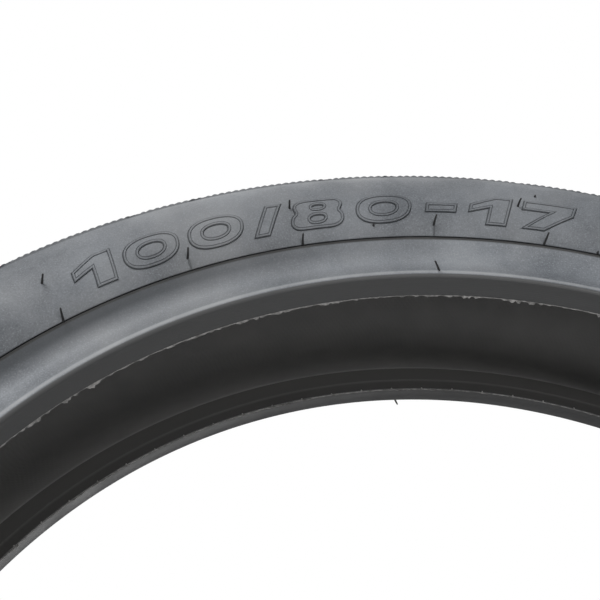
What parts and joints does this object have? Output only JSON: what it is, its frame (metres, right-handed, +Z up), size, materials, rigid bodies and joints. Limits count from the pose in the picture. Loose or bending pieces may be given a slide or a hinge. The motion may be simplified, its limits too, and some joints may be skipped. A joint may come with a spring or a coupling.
{
  "type": "motorcycle tyre",
  "caption": "Tubeless road motorcycle tyre with a round grooved tread, smooth sidewalls and wire-cored beads that seal on a 17 inch wheel rim",
  "frame": {"origin": "the centre of the tyre: on the axle line, in the middle plane", "axes": "+Y is the axle line and points to a rider's left, +X is forwards, +Z is up with the tyre standing on its tread"},
  "size_m": [0.592, 0.101, 0.592],
  "materials": {
    "tread_rubber": "matte",
    "sidewall_rubber": "satin, softly mottled",
    "bead_rubber": "satin, finely ribbed",
    "liner_rubber": "matte, fine moulded lattice",
    "filler_rubber": "matte",
    "nylon_cord": "rubber-coated parallel cords",
    "chafer_fabric": "square-woven",
    "bead_wire": "bronze-plated drawn wire"
  },
  "bodies": {
    "root": {"tread_cap": "tread_rubber", "tread_base": "filler_rubber", "breaker_ply_outer": "nylon_cord", "breaker_ply_inner": "nylon_cord", "casing_ply_outer": "nylon_cord", "casing_ply_inner": "nylon_cord", "inner_liner": "liner_rubber", "shoulder_wedge_left": "filler_rubber", "shoulder_wedge_right": "filler_rubber", "sidewall_left": "sidewall_rubber", "sidewall_right": "sidewall_rubber", "rim_strip_left": "bead_rubber", "rim_strip_right": "bead_rubber", "chafer_left": "chafer_fabric", "chafer_right": "chafer_fabric", "bead_wrap_left": "chafer_fabric", "bead_wrap_right": "chafer_fabric", "bead_filler_left": "filler_rubber", "bead_filler_right": "filler_rubber", "bead_core_left": "bead_wire", "bead_core_right": "bead_wire"}
  },
  "joints": []
}
